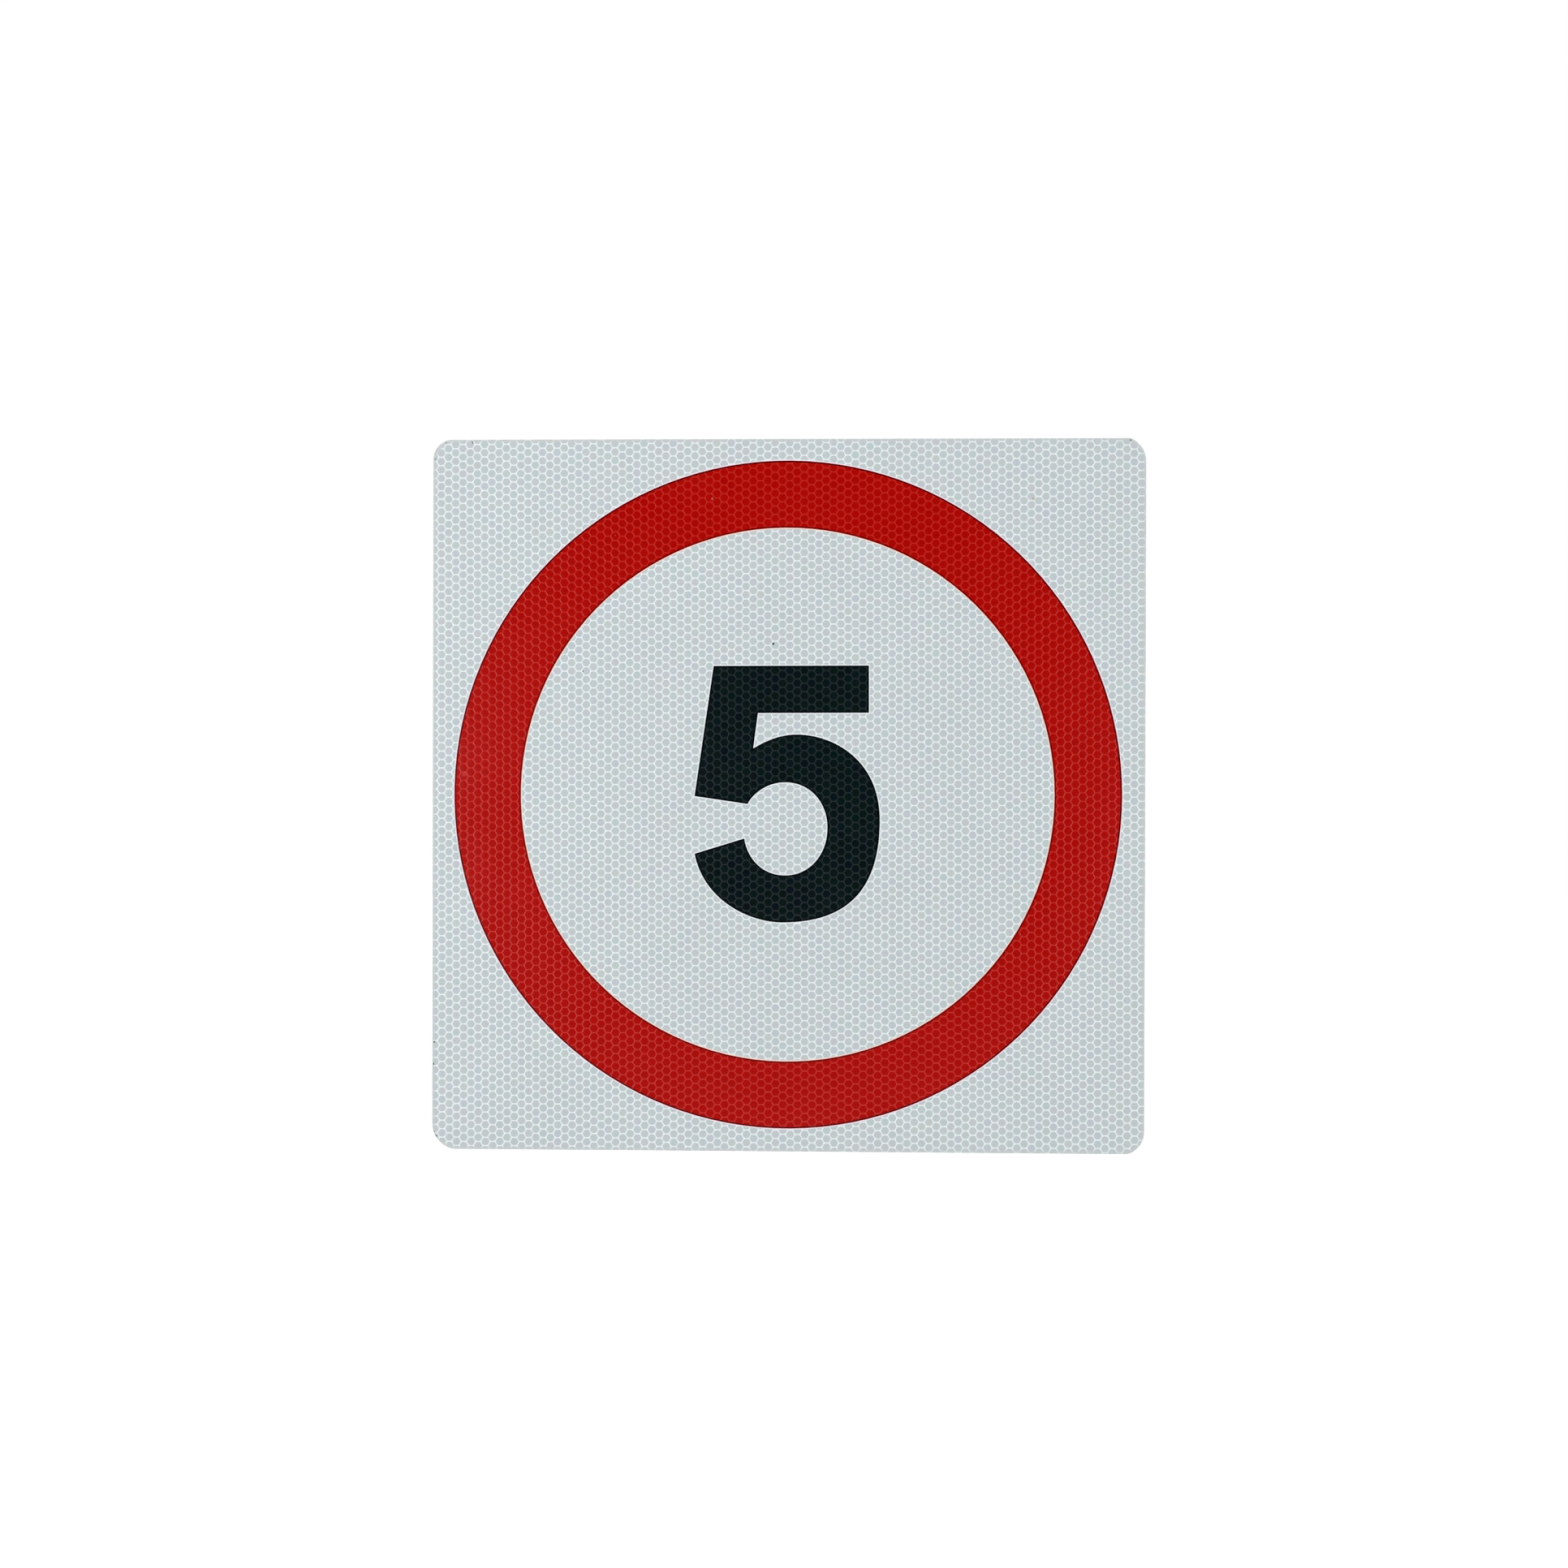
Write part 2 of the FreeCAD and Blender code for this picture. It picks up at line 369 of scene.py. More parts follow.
class StageSettings(bpy.types.PropertyGroup):
    """Camera, lamps, room light and floor."""

    lens: FloatProperty(
        name="Lens", description="Focal length on a 36 mm wide sensor", default=37.267,
        subtype="DISTANCE_CAMERA")
    stand: position("Camera Stand", "Where the camera stands", 15.103, -685.35, 6.453)
    aim: position("Camera Aim", "Point of the sign's face at the middle of the picture", -1.329, -2.4, 4.807)
    roll: angle("Roll", "Turn of the camera about its own line", 0.1443)
    room: share("Room Light", "Strength of the even light from all round", 0.56, 5.0)
    front: share("Front Dimness", "Strength of what the face mirrors straight in front of it", 0.002, 5.0)
    left_glow: share("Left Glow", "What the face mirrors more towards its left", 0.115, 5.0)
    right_glow: share("Right Glow", "What the face mirrors more towards its right", 0.07, 5.0)
    foot_glow: share("Foot Glow", "What the face mirrors more towards its foot", 0.085, 5.0)
    left_wall: share("Left Wall", "Brightness of the room's left side, mirrored by the seal lines", 2.8, 5.0)
    right_wall: share("Right Wall", "Brightness of the room's right side", 2.2, 5.0)
    foot_wall: share("Foot Wall", "Brightness of the room's floor", 1.2, 5.0)
    key_power: power("Key Power", "Power of the lamp on the left", 12.0)
    fill_power: power("Fill Power", "Power of the lamp on the right", 6.4)
    floor_drop: length("Floor Drop", "How far the floor lies below the sign", 450.0)


class Value:
    """An output socket that takes part in Python expressions, each step of which adds a Math node."""

    def __init__(self, nodes, socket):
        self.nodes = nodes
        self.socket = socket

    def math(self, operation, *others):
        """Work on this number and others."""
        return self.nodes.math(operation, self, *others)

    def __add__(self, other):
        return self.math("ADD", other)

    __radd__ = __add__

    def __sub__(self, other):
        return self.math("SUBTRACT", other)

    def __rsub__(self, other):
        return self.nodes.math("SUBTRACT", other, self)

    def __mul__(self, other):
        return self.math("MULTIPLY", other)

    __rmul__ = __mul__

    def __truediv__(self, other):
        return self.math("DIVIDE", other)

    def __lt__(self, other):
        return self.math("LESS_THAN", other)

    def __abs__(self):
        return self.math("ABSOLUTE")

    def __round__(self):
        return self.math("ROUND")

    def __floor__(self):
        return self.math("FLOOR")


class Nodes:
    """A node tree under construction."""

    def __init__(self, tree):
        self.tree = tree
        tree.nodes.clear()

    def add(self, kind, settings=None, inputs=None):
        """Add a node, set its settings, then set or link its sockets."""
        node = self.tree.nodes.new("ShaderNode" + kind)
        for name, value in (settings or {}).items():
            setattr(node, name, value)
        for name, value in (inputs or {}).items():
            if isinstance(value, Value):
                self.tree.links.new(value.socket, node.inputs[name])
            else:
                node.inputs[name].default_value = value
        return node

    def value(self, kind, settings=None, inputs=None, output=0):
        """Add a node and take one of its outputs."""
        return Value(self, self.add(kind, settings, inputs).outputs[output])

    def math(self, operation, *terms):
        """Work on numbers."""
        return self.value("Math", {"operation": operation}, dict(enumerate(terms)))

    def vector(self, operation, *terms):
        """Work on vectors or colours."""
        return self.value("VectorMath", {"operation": operation}, dict(enumerate(terms)))

    def scale(self, vector, factor):
        """Multiply a vector or a colour by a number."""
        return self.value("VectorMath", {"operation": "SCALE"}, {0: vector, "Scale": factor})

    def distance(self, across, up):
        """Straight distance between two points that lie so far across and up from each other."""
        return self.math("SQRT", across * across + up * up)

    def ramp(self, value, start, end, low=0.0, high=1.0):
        """Ease from low to high while the value runs from start to end."""
        settings = {"interpolation_type": "SMOOTHSTEP"}
        inputs = {"Value": value, "From Min": start, "From Max": end, "To Min": low, "To Max": high}
        return self.value("MapRange", settings, inputs)

    def mix(self, factor, first, second, blend="MIX"):
        """Mix two colours. The Mix node's colour sockets have only their numbers to tell them apart."""
        settings = {"data_type": "RGBA", "blend_type": blend}
        inputs = {0: factor, 6: paint(first), 7: paint(second)}
        return self.value("Mix", settings, inputs, output=2)

    def rays(self, *kinds):
        """1 for rays of the kinds named and 0 for all others."""
        path = self.add("LightPath")
        found, *others = (Value(self, path.outputs[f"Is {kind} Ray"]) for kind in kinds)
        for other in others:
            found = self.math("MAXIMUM", found, other)
        return found


def paint(colour_or_value):
    """A colour as a socket takes it, with its alpha."""
    if isinstance(colour_or_value, Value):
        return colour_or_value
    return (*colour_or_value, 1.0)


class Finish(Nodes):
    """A material under construction, with its place on the sign in millimetres."""

    def __init__(self, name):
        self.material = bpy.data.materials.new(name)
        self.material.use_nodes = True
        super().__init__(self.material.node_tree)
        self.place = self.scale(self.value("TexCoord", output="Object"), 1 / MM)
        parts = self.add("SeparateXYZ", inputs={0: self.place})
        self.across, self.up = Value(self, parts.outputs["X"]), Value(self, parts.outputs["Z"])

    def noise(self, size, seed, detail=2.0, stretch=(1.0, 1.0, 1.0), turn=0.0):
        """Cloudy noise from 0 to 1, its features about as large as the size in millimetres.

        Stretch draws the features out along each axis, and turn, in degrees, then turns them on the sign.
        """
        turned = {"Vector": self.place, "Angle": math.radians(turn)}
        place = self.value("VectorRotate", {"rotation_type": "Y_AXIS"}, turned) if turn else self.place
        where = self.vector("MULTIPLY", place, tuple(1 / (size * part) for part in stretch))
        inputs = {"Vector": where, "W": seed, "Scale": 1.0, "Detail": detail}
        return self.value("TexNoise", {"noise_dimensions": "4D"}, inputs)

    def bump(self, height, millimetres):
        """Normals of a surface that rises by so many millimetres where the height is 1."""
        return self.value("Bump", inputs={"Height": height, "Distance": millimetres * MM, "Strength": 1.0})

    def smudge(self, base, across, up, radius, strength, stain):
        """Stain a colour softly round one point of the face."""
        away = self.distance(self.across - across, self.up - up)
        return self.mix(self.ramp(away, radius, radius * STAIN_CORE) * strength, base, stain)

    def surface(self, sockets):
        """Finish the material with its shader."""
        shader = self.value("BsdfPrincipled", inputs=sockets)
        self.add("OutputMaterial", inputs={"Surface": shader})
        return self.material


class Honeycomb:
    """The pattern of cells in a finish, laid on the same grid as the modelled cells."""

    def __init__(self, finish, cells):
        pitch = cells.pitch / MM
        column = pitch * math.sqrt(3) / 2
        cos, sin = math.cos(cells.turn), math.sin(cells.turn)
        right = (finish.across - cells.across / MM) * (1 / cells.squeeze)
        above = finish.up - cells.up / MM
        u = right * cos + above * sin
        v = above * cos - right * sin
        # The cells' middles make two like grids of rectangles, one set between the other. A place
        # belongs to the nearer of its closest middles on the two.
        near_u, near_v = round(u / (2 * column)), round(v / pitch)
        next_u, next_v = math.floor(u / (2 * column)) + 0.5, math.floor(v / pitch) + 0.5
        near = (u - near_u * (2 * column), v - near_v * pitch)
        other = (u - next_u * (2 * column), v - next_v * pitch)
        nearer = near[0] * near[0] + near[1] * near[1] < other[0] * other[0] + other[1] * other[1]

        def pick(of_first, of_other):
            """Number of the first middle where that one is the nearer, and of the other elsewhere."""
            return of_other + (of_first - of_other) * nearer

        self.finish = finish
        side = abs(pick(near[0], other[0]))
        self.rise = abs(pick(near[1], other[1]))
        self.cell = finish.value("CombineXYZ", inputs={0: pick(near_u, next_u), 1: pick(near_v, next_v)})
        self.half_seal = cells.seal_width / MM / 2
        self.half_pitch = pitch / 2
        lean = side * (math.sqrt(3) / 2)
        rounding = PATTERN_ROUNDING * cells.corner_cut / MM
        sides = finish.math("SMOOTH_MAX", lean + self.rise * 0.5, lean - self.rise * 0.5, rounding)
        self.from_seal = self.half_pitch - finish.math("SMOOTH_MAX", sides, self.rise, rounding)

    def seal(self):
        """1 on the seal lines and 0 in the cells."""
        start = self.half_seal + SEAL_SOFTNESS
        end = self.half_seal - SEAL_SOFTNESS
        return self.finish.ramp(self.from_seal, start, end)

    def level(self):
        """1 on the level stretches of the seal lines and 0 on the slanted ones: the mask of a painted highlight, as if
        light from above caught the level stretches.
        """
        start = self.half_pitch - 2 * self.half_seal
        end = self.half_pitch - self.half_seal
        return self.finish.ramp(self.rise, start, end)

    def tint(self, amounts, seed):
        """Colour that multiplies each cell: white, its red, green and blue each off by up to its amount."""
        finish = self.finish
        where = finish.vector("ADD", self.cell, (seed, seed, seed))
        chance = finish.value("TexWhiteNoise", {"noise_dimensions": "3D"}, {"Vector": where}, "Color")
        lowest = tuple(1 - amount for amount in amounts)
        return finish.vector("MULTIPLY_ADD", chance, tuple(2 * amount for amount in amounts), lowest)


def deselect():
    """Leave edit mode and deselect every object."""
    if bpy.context.mode != "OBJECT":
        bpy.ops.object.mode_set(mode="OBJECT")
    bpy.ops.object.select_all(action="DESELECT")


def select(piece):
    """Make one object the only selected and the active one."""
    deselect()
    piece.select_set(True)
    bpy.context.view_layer.objects.active = piece


def edit(select_mode="VERT", action="DESELECT"):
    """Enter edit mode with everything deselected or selected."""
    bpy.ops.object.mode_set(mode="EDIT")
    bpy.ops.mesh.select_mode(type=select_mode)
    bpy.ops.mesh.select_all(action=action)


def leave_edit():
    """Point every face outwards and leave edit mode."""
    bpy.ops.mesh.select_all(action="SELECT")
    bpy.ops.mesh.normals_make_consistent(inside=False)
    bpy.ops.object.mode_set(mode="OBJECT")


def select_faces(piece, wanted):
    """In edit mode, select the faces for which a test of their centre holds."""
    bpy.ops.object.mode_set(mode="OBJECT")
    for polygon in piece.data.polygons:
        polygon.select = bool(wanted(polygon.center))
    bpy.ops.object.mode_set(mode="EDIT")


def select_border():
    """In edit mode, select the open edges."""
    bpy.ops.mesh.select_mode(type="EDGE")
    bpy.ops.mesh.select_all(action="DESELECT")
    bpy.ops.mesh.select_non_manifold()


def modify(piece, kind, **settings):
    """Add a modifier to the active piece and apply it."""
    modifier = piece.modifiers.new(kind.title(), kind)
    for name, value in settings.items():
        setattr(modifier, name, value)
    bpy.ops.object.modifier_apply(modifier=modifier.name)


def repeat(piece, count, step):
    """Repeat a piece along a step."""
    modify(piece, "ARRAY", count=count, use_relative_offset=False, use_constant_offset=True,
           constant_offset_displace=step)


def settle(piece):
    """Put a piece's place into its mesh, so that its object stands at the origin."""
    select(piece)
    bpy.ops.object.transform_apply(location=True, rotation=True, scale=True)


def solid_of(node, name):
    """Closed mesh of a CAD node, its loose triangles merged."""
    piece = bpy.data.objects.new(name, frame["nodes"][node].data.copy())
    piece.data.name = name
    piece.data.materials.clear()
    bpy.context.scene.collection.objects.link(piece)
    select(piece)
    edit(action="SELECT")
    bpy.ops.mesh.remove_doubles(threshold=MERGE_WITHIN)
    leave_edit()
    bpy.ops.mesh.customdata_custom_splitnormals_clear()
    return piece


def combine(piece, other, operation):
    """Cut or join a piece with another solid, which is then removed."""
    select(piece)
    modify(piece, "BOOLEAN", operation=operation, solver="MANIFOLD", object=other)
    bpy.data.objects.remove(other)


def one_cell(cells):
    """One cell, a rounded hexagon that stands in front of the hexagon of its seal line."""
    outer = cells.pitch / math.sqrt(3)
    inner = outer - cells.seal_width / math.sqrt(3)
    turn = (math.pi / 2, math.pi / 6, 0.0)
    deselect()
    bpy.ops.mesh.primitive_circle_add(
        vertices=6, radius=outer, fill_type="NOTHING", location=(0, cells.seal_depth, 0), rotation=turn)
    piece = bpy.context.active_object
    settle(piece)
    edit()
    bpy.ops.mesh.primitive_circle_add(vertices=6, radius=inner, fill_type="NGON", rotation=turn)
    bpy.ops.mesh.bevel(offset=cells.corner_cut, affect="VERTICES", segments=1)
    select_border()
    bpy.ops.mesh.bridge_edge_loops()
    leave_edit()
    return piece


def honeycomb_slab(cells, node, thickness):
    """Closed slab of cells that reaches past a node's outline, its cells a skin behind the node's front."""
    low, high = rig.box(node)
    margin = 2 * cells.pitch
    # Columns go in pairs, of which the second stands half a pitch higher
    pair = math.sqrt(3) * cells.pitch
    first_column = math.floor((low.x - margin - cells.across) / pair)
    last_column = math.ceil((high.x + margin - cells.across) / pair)
    first_row = math.floor((low.z - margin - cells.up) / cells.pitch)
    last_row = math.ceil((high.z + margin - cells.up) / cells.pitch)
    slab = one_cell(cells)
    repeat(slab, 2, (pair / 2, 0, cells.pitch / 2))
    repeat(slab, last_column - first_column + 1, (pair, 0, 0))
    repeat(slab, last_row - first_row + 1, (0, 0, cells.pitch))
    edit(action="SELECT")
    bpy.ops.mesh.remove_doubles(threshold=MERGE_WITHIN)
    bpy.ops.mesh.normals_make_consistent(inside=False)
    select_border()
    bpy.ops.mesh.extrude_region_move(TRANSFORM_OT_translate={"value": (0, thickness, 0)})
    bpy.ops.mesh.edge_face_add()
    leave_edit()
    slab.location = (first_column * pair, 0, first_row * cells.pitch)
    settle(slab)
    slab.scale.x = cells.squeeze
    slab.rotation_euler.y = -cells.turn
    slab.location = (cells.across, low.y + cells.skin, cells.up)
    settle(slab)
    return slab


def lay_map(piece):
    """Give a piece the UV map that lays its front out flat over the whole square."""
    low = Vector(min(vertex.co[i] for vertex in piece.data.vertices) for i in range(3))
    high = Vector(max(vertex.co[i] for vertex in piece.data.vertices) for i in range(3))
    side = MAP_MARGIN * max(high.x - low.x, high.z - low.z)
    middle = (low + high) / 2
    flat = piece.data.uv_layers.new(name=FLAT_MAP)
    for loop, spot in zip(piece.data.loops, flat.uv):
        place = piece.data.vertices[loop.vertex_index].co - middle
        spot.vector = (0.5 + place.x / side, 0.5 + place.z / side)


def finish_piece(piece, name, material, slot, *nodes, smooth_under=FLAT_UNDER):
    """Name a piece, give it its material and shading, and tie it to the frame."""
    piece.name = name
    piece.data.name = name
    piece.data.materials.clear()
    piece.data.materials.append(material)
    select(piece)
    bpy.ops.object.shade_smooth_by_angle(angle=math.radians(smooth_under))
    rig.ride(piece, BODY)
    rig.slot(piece, slot)
    if nodes:
        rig.replaces(piece, *nodes)


def film_finish(name, cell, seal, tints, seed):
    """Finish of a film up to its base colour: tinted cells, seal lines with a painted highlight on their level
    stretches, cloudiness and fine grain.
    """
    scene = bpy.context.scene
    finish = Finish(name)
    comb = Honeycomb(finish, scene.sign_cells)
    cloud = finish.noise(size=26.0, seed=seed)
    grain = finish.noise(size=0.45, detail=1.0, seed=seed + 1)
    patches = finish.noise(size=2.4, detail=0.0, seed=seed + 2)
    wave = finish.noise(size=17.0, detail=1.0, seed=seed + 3)
    cells = finish.mix(1.0, cell, comb.tint(tints, seed), "MULTIPLY")
    # Seal lines show their colour in patches, and more on their level stretches: a painted highlight of light from
    # above
    strength = finish.ramp(patches, *SEAL_PATCHES, *SEAL_SHARE) + comb.level() * LEVEL_SEAL_HIGHLIGHT
    mixed = finish.mix(comb.seal() * strength, cells, seal)
    light = 1 + (cloud - 0.5) * CLOUDINESS + (grain - 0.5) * GRAININESS
    roughness = finish.ramp(cloud, *MOST_NOISE, *FILM_GLOSS) * scene.sign_film.gloss
    sockets = {
        "Base Color": finish.scale(mixed, light),
        "Roughness": roughness + comb.seal() * SEAL_ROUGHER,
        "Normal": finish.bump(wave + grain * GRAIN_IN_WAVE, WAVE_HEIGHT),
    }
    return finish, sockets


def white_finish():
    """Bare sheeting, greyed by painted shade along the rounded sheared edge, and darkened at the very edge by painted
    shade and dirt.
    """
    film = bpy.context.scene.sign_film
    finish, sockets = film_finish(
        WHITE_SLOT, film.white_cell, film.white_seal, tints=(0.032, 0.02, 0.022), seed=3.0)
    low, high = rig.box(SHEETING)
    reach_x = abs(finish.across - (low.x + high.x) / 2 / MM) - ((high.x - low.x) / 2 / MM - CORNER_ROUND)
    reach_z = abs(finish.up - (low.z + high.z) / 2 / MM) - ((high.z - low.z) / 2 / MM - CORNER_ROUND)
    outside = finish.distance(finish.math("MAXIMUM", reach_x, 0.0), finish.math("MAXIMUM", reach_z, 0.0))
    inside = finish.math("MINIMUM", finish.math("MAXIMUM", reach_x, reach_z), 0.0)
    from_edge = CORNER_ROUND - outside - inside
    # Painted shade of the rounded sheared edge: the honeycomb fades to a grey towards the edge, in patches
    rim_patches = finish.noise(size=7.0, seed=21.0)
    shade_from, shade_to = (film.rim_width / MM * reach for reach in EDGE_SHADE_REACH)
    edge_shade = finish.ramp(from_edge, shade_from, shade_to) * finish.ramp(rim_patches, *EDGE_SHADE_PATCHES, *EDGE_SHADE_SHARE)
    # Brownish dark line at the very edge, in patches: painted shade of the rounded edge, and dirt
    edge_shade_and_dirt = finish.ramp(from_edge, *EDGE_SHADE_AND_DIRT_REACH) * finish.ramp(rim_patches, *EDGE_SHADE_AND_DIRT_PATCHES)
    base = finish.mix(edge_shade, sockets["Base Color"], film.rim_shade)
    base = finish.mix(edge_shade_and_dirt * EDGE_SHADE_AND_DIRT_SHARE, base, EDGE_SHADE_AND_DIRT)
    for spot in GRIME:
        base = finish.smudge(base, *spot)
    sockets["Base Color"] = base
    sockets["Roughness"] = sockets["Roughness"] + finish.ramp(from_edge, *ROUGH_REACH) * EDGE_ROUGHER
    return finish.surface(sockets)


def colour_finish(name, cell, seal, tints, seed, spots=()):
    """Colour laid on the sheeting, which the cells show through."""
    finish, sockets = film_finish(name, cell, seal, tints, seed)
    for spot in spots:
        sockets["Base Color"] = finish.smudge(sockets["Base Color"], *spot)
    return finish.surface(sockets)


def line_finish(name, inner, outer):
    """Narrow line or fleck, a little uneven, in one colour inside the ring and another outside it."""
    finish = Finish(name)
    uneven = finish.noise(size=3.0, seed=31.0)
    pimples = finish.noise(size=0.8, seed=32.0)
    from_middle = finish.distance(finish.across, finish.up)
    plain = finish.mix(finish.ramp(from_middle, *RING_MIDDLE), inner, outer)
    return finish.surface({
        "Base Color": finish.scale(plain, LINE_DIMMEST + uneven * LINE_BRIGHTER),
        "Roughness": finish.ramp(uneven, *MOST_NOISE, *LINE_GLOSS) * bpy.context.scene.sign_film.gloss,
        "Normal": finish.bump(pimples, PIMPLE_HEIGHT),
    })


def metal_finish():
    """Mill-finish sheet: rolling lines, dull patches, fine scratches, and shear marks on its edges."""
    plate = bpy.context.scene.sign_plate
    finish = Finish("plate_metal")
    normal = finish.add("SeparateXYZ", inputs={0: finish.value("NewGeometry", output="Normal")})
    on_edge = finish.ramp(abs(Value(finish, normal.outputs["Y"])), *ON_EDGE)
    rolling = finish.noise(size=0.5, detail=3.0, stretch=(120.0, 1.0, 1.0), seed=41.0)
    bands = finish.noise(size=5.0, stretch=(60.0, 1.0, 1.0), seed=46.0)
    patches = finish.noise(size=36.0, detail=3.0, stretch=(3.0, 1.0, 1.0), seed=42.0)
    steep = finish.noise(size=0.3, detail=0.0, stretch=(70.0, 1.0, 1.0), seed=43.0, turn=63.0)
    slight = finish.noise(size=0.35, detail=0.0, stretch=(90.0, 1.0, 1.0), seed=44.0, turn=-14.0)
    scratch = finish.math(
        "MAXIMUM", finish.ramp(steep, *STEEP_SCRATCHES), finish.ramp(slight, *SLIGHT_SCRATCHES))
    teeth = finish.noise(size=0.35, stretch=(1.0, 30.0, 1.0), seed=45.0)
    grain = rolling + (teeth - rolling) * on_edge
    metal = finish.mix(finish.ramp(patches, *DULL_PATCHES), plate.stain, plate.metal)
    light = 0.84 + grain * 0.22 + bands * 0.1 + scratch * 0.1
    rolled = plate.roughness + (rolling - 0.5) * 0.18 + (bands - 0.5) * 0.12
    return finish.surface({
        "Base Color": finish.scale(metal, light),
        "Metallic": 1.0,
        "Roughness": rolled - scratch * 0.1 + on_edge * 0.08,
        "Normal": finish.bump(grain + scratch * 0.5, ROLLING_HEIGHT),
    })


def outline_band(node, name, width, offset, back, front):
    """Closed band along a node's outline, between two depths.

    Offset is -1 for a band just inside the outline, 1 for one just outside it, and more for one that
    stands off the outline.
    """
    low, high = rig.box(node)
    thickness = high.y - low.y
    piece = solid_of(node, name)
    edit("FACE")
    select_faces(piece, lambda centre: centre.y - low.y > FLAT_WITHIN)
    bpy.ops.mesh.delete(type="FACE")
    bpy.ops.mesh.select_all(action="SELECT")
    bpy.ops.mesh.region_to_loop()
    bpy.ops.mesh.extrude_edges_move(TRANSFORM_OT_translate={"value": (0, thickness, 0)})
    bpy.ops.mesh.select_mode(type="FACE")
    select_faces(piece, lambda centre: centre.y - low.y < FLAT_WITHIN)
    bpy.ops.mesh.delete(type="FACE")
    bpy.ops.object.mode_set(mode="OBJECT")
    modify(piece, "SOLIDIFY", thickness=width, offset=offset, use_even_offset=True, use_rim=True)
    edit(action="SELECT")
    bpy.ops.transform.resize(value=(1, (back - front) / thickness, 1), center_override=(0, high.y, 0))
    bpy.ops.transform.translate(value=(0, back - high.y, 0))
    leave_edit()
    return piece


def lay_colour(node, name, material, slot, lines):
    """Make one of the colours: its honeycomb film, its dark edge, its fringe and the pale line round it.

    Lines gives the colours of the last three: of each, the one inside the ring and the one outside it.
    """
    cells, film = bpy.context.scene.sign_cells, bpy.context.scene.sign_film
    slab = honeycomb_slab(cells, node, COLOUR_SLAB)
    combine(slab, solid_of(node, node + "_outline"), "INTERSECT")
    lay_map(slab)
    finish_piece(slab, name, material, slot, node)
    low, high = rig.box(node)
    apart = 1 + 2 * film.lip_gap / film.lip_width
    bands = (
        ("_edge", slot, film.edge_width, -1, high.y, low.y),
        ("_fringe", slot, film.fringe_width, 1, high.y, low.y),
        ("_lip", WHITE_SLOT, film.lip_width, apart, high.y + LIP_BURIED, high.y - LIP_PROUD),
    )
    for (part, band_slot, width, offset, back, front), colours in zip(bands, lines):
        band = outline_band(node, name + part, width, offset, back, front)
        finish_piece(band, name + part, line_finish(slot + part, *colours), band_slot)


def fleck(mark, back, front):
    """Small low fleck of an uneven outline, rounded off to its front."""
    across, up, width, height, lean = mark
    middle = (across * MM, back, up * MM)
    own_seed = int(abs(across) * 10)
    deselect()
    # A disc one unit across, then drawn to the fleck's width and height
    bpy.ops.mesh.primitive_circle_add(
        vertices=FLECK_SIDES, radius=0.5, fill_type="NGON", location=middle,
        rotation=(math.pi / 2, math.radians(lean), 0.0))
    piece = bpy.context.active_object
    piece.scale = (width * MM, height * MM, MM)
    settle(piece)
    edit(action="SELECT")
    stray = FLECK_UNEVEN * min(width, height) * MM
    bpy.ops.transform.vertex_random(offset=stray, seed=own_seed)
    bpy.ops.transform.resize(value=(1, 0, 1), center_override=middle)
    for share_of_rise, narrower in FLECK_STEPS:
        rise = (0, share_of_rise * (front - back), 0)
        bpy.ops.mesh.extrude_region_move(TRANSFORM_OT_translate={"value": rise})
        bpy.ops.transform.resize(value=(narrower, 1, narrower))
    leave_edit()
    return piece


def flecks(name, marks, back, front, material, slot):
    """Piece made of all the flecks of one kind."""
    made = [fleck(mark, back, front) for mark in marks]
    select(made[0])
    for piece in made:
        piece.select_set(True)
    bpy.ops.object.join()
    finish_piece(made[0], name, material, slot, smooth_under=ROUND_UNDER)


class SIGN_OT_plate(bpy.types.Operator):
    """Give the metal plate its mill finish."""

    bl_idname = "sign.plate"
    bl_label = "Metal Plate"

    def execute(self, context):
        plate = frame["nodes"][PLATE]
        material = metal_finish()
        for slot in plate.material_slots:
            slot.link = "OBJECT"
            slot.material = material
        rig.slot(plate, "plate_metal")
        return {"FINISHED"}


class SIGN_OT_sheeting(bpy.types.Operator):
    """Lay the white honeycomb sheeting over the front of the plate."""

    bl_idname = "sign.sheeting"
    bl_label = "Reflective Sheeting"

    def execute(self, context):
        cells = context.scene.sign_cells
        slab = honeycomb_slab(cells, SHEETING, SHEETING_SLAB)
        combine(slab, solid_of(SHEETING, "sheeting_outline"), "INTERSECT")
        # The colours lie flat, so the seal lines under each are filled up to its back
        for node in (RING, NUMERAL):
            bed = solid_of(node, node + "_bed")
            low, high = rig.box(node)
            bed.location.y = high.y - low.y
            settle(bed)
            combine(slab, bed, "UNION")
        lay_map(slab)
        finish_piece(slab, "white_honeycomb_sheeting", white_finish(), WHITE_SLOT, SHEETING)
        return {"FINISHED"}


class SIGN_OT_ring(bpy.types.Operator):
    """Lay the red ring on the sheeting, with its dark edge and the pale line round it."""

    bl_idname = "sign.ring"
    bl_label = "Red Ring"

    def execute(self, context):
        film = context.scene.sign_film
        material = colour_finish(
            RED_SLOT, film.red_cell, film.red_seal, tints=(0.03, 0.28, 0.3), seed=5.0, spots=SMUDGES)
        lines = (
            (film.inner_edge, film.outer_edge),
            (film.inner_fringe, film.outer_fringe),
            (film.inner_lip, film.outer_lip),
        )
        lay_colour(RING, "red_honeycomb_ring", material, RED_SLOT, lines)
        return {"FINISHED"}


